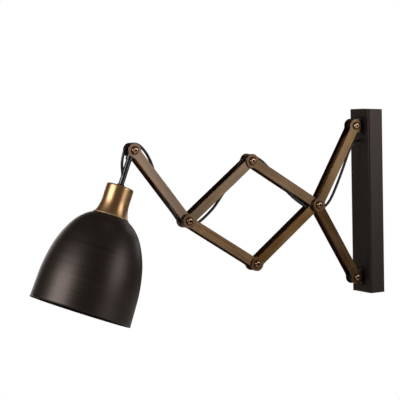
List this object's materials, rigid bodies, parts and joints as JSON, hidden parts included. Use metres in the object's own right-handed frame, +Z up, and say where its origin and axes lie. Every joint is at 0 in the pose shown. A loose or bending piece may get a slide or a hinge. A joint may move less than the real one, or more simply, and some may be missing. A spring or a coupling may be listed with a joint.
{
  "type": "accordion wall lamp",
  "caption": "Wall lamp on a folding accordion arm of paired flat bronze links, with a dark wall bar, a black cord woven through the arm, a brass cap and a dark metal bell shade.",
  "frame": {"origin": "midway between the two wall screws, on the wall face of the mounting plate", "axes": "+X into the wall, so the arm reaches out to -X; +Z up; +Y to the back side of the arm, away from the screw heads"},
  "size_m": [0.6189, 0.16, 0.3165],
  "materials": {
    "wall_bar_finish": "satin",
    "zinc_plated_steel": "satin",
    "bronze_link": "satin",
    "bronze_screw": "gloss",
    "dark_bronze": "satin",
    "gunmetal": "gloss",
    "satin_brass": "satin",
    "shade_finish": "satin",
    "black_bakelite": "gloss",
    "brass_shell": "polished",
    "black_nylon": "matte",
    "white_nylon": "satin",
    "cord_sheath": "satin"
  },
  "bodies": {
    "base": {"wall_bar_housing": "wall_bar_finish", "mounting_plate": "zinc_plated_steel", "housing_screw": "zinc_plated_steel", "terminal_block": "white_nylon", "cord_bush": "black_nylon", "upper_lug": "dark_bronze", "lower_lug": "dark_bronze", "lug_screws": "zinc_plated_steel", "wall_pivot_screws": "bronze_screw", "wall_pivot_nuts": "bronze_screw", "wall_pivot_washers": "black_nylon", "upper_base_link_front": "bronze_link", "upper_base_link_back": "bronze_link", "lower_base_link_front": "bronze_link", "lower_base_link_back": "bronze_link", "centre_pivot_screw": "bronze_screw", "centre_pivot_nut": "bronze_screw", "centre_pivot_sleeve": "dark_bronze", "centre_pivot_washers": "black_nylon", "cord_base": "cord_sheath", "cord_at_centre_pivot": "cord_sheath"},
    "inner_upper_link": {"inner_upper_link_front": "bronze_link", "inner_upper_link_back": "bronze_link", "top_pivot_screw": "bronze_screw", "top_pivot_nut": "bronze_screw", "top_pivot_sleeve": "dark_bronze", "top_pivot_washers": "black_nylon", "cord_at_top_pivot": "cord_sheath"},
    "inner_lower_link": {"inner_lower_link_front": "bronze_link", "inner_lower_link_back": "bronze_link", "bottom_pivot_screw": "bronze_screw", "bottom_pivot_nut": "bronze_screw", "bottom_pivot_sleeve": "dark_bronze", "bottom_pivot_washers": "black_nylon"},
    "outer_upper_link": {"outer_upper_link_front": "bronze_link", "outer_upper_link_back": "bronze_link", "front_pivot_screw": "bronze_screw", "front_pivot_nut": "bronze_screw", "front_pivot_sleeve": "dark_bronze", "front_pivot_washers": "black_nylon", "cord_at_front_pivot": "cord_sheath"},
    "outer_lower_link": {"outer_lower_link_front": "bronze_link", "outer_lower_link_back": "bronze_link"},
    "end_link": {"end_link_front": "bronze_link", "end_link_back": "bronze_link", "lamp_pivot_screw": "bronze_screw", "lamp_pivot_nut": "bronze_screw", "lamp_pivot_washers": "black_nylon", "cord_at_lamp_pivot": "cord_sheath"},
    "lamp_head": {"lamp_knuckle": "dark_bronze", "stem_tube": "gunmetal", "stem_collar": "dark_bronze", "lamp_cap": "satin_brass", "stem_locknut": "zinc_plated_steel", "lampholder_body": "black_bakelite", "lampholder_screw_shell": "brass_shell", "lampholder_contact": "brass_shell", "shade": "shade_finish", "shade_ring": "black_bakelite", "cord_in_stem": "cord_sheath"}
  },
  "joints": [
    {"name": "arm_swing", "type": "hinge", "parent": "base", "child": "inner_upper_link", "pos_m": [-0.11644, 0, 0], "axis": [0, 1, 0], "range_deg": [-30, 40], "deforming": ["cord_at_centre_pivot"]},
    {"name": "accordion_open", "type": "hinge", "parent": "inner_upper_link", "child": "inner_lower_link", "pos_m": [-0.11644, 0, 0], "axis": [0, 1, 0], "range_deg": [-38, 42]},
    {"name": "top_pivot_fold", "type": "hinge", "parent": "inner_upper_link", "child": "outer_upper_link", "pos_m": [-0.24019, 0, 0.07748], "axis": [0, 1, 0], "range_deg": [-38, 42], "deforming": ["cord_at_top_pivot"]},
    {"name": "bottom_pivot_fold", "type": "hinge", "parent": "inner_lower_link", "child": "outer_lower_link", "pos_m": [-0.23342, 0, -0.08736], "axis": [0, 1, 0], "range_deg": [-42, 38]},
    {"name": "end_link_swing", "type": "hinge", "parent": "outer_upper_link", "child": "end_link", "pos_m": [-0.35717, 0, -0.00988], "axis": [0, 1, 0], "range_deg": [-19, 55], "deforming": ["cord_at_front_pivot"]},
    {"name": "lamp_tilt", "type": "hinge", "parent": "end_link", "child": "lamp_head", "pos_m": [-0.44806, 0, 0.10438], "axis": [0, 1, 0], "range_deg": [-21, 65], "deforming": ["cord_at_lamp_pivot"]}
  ],
  "couplings": [
    {"joint": "top_pivot_fold", "follows": "accordion_open", "ratio": 1},
    {"joint": "bottom_pivot_fold", "follows": "accordion_open", "ratio": -1}
  ]
}
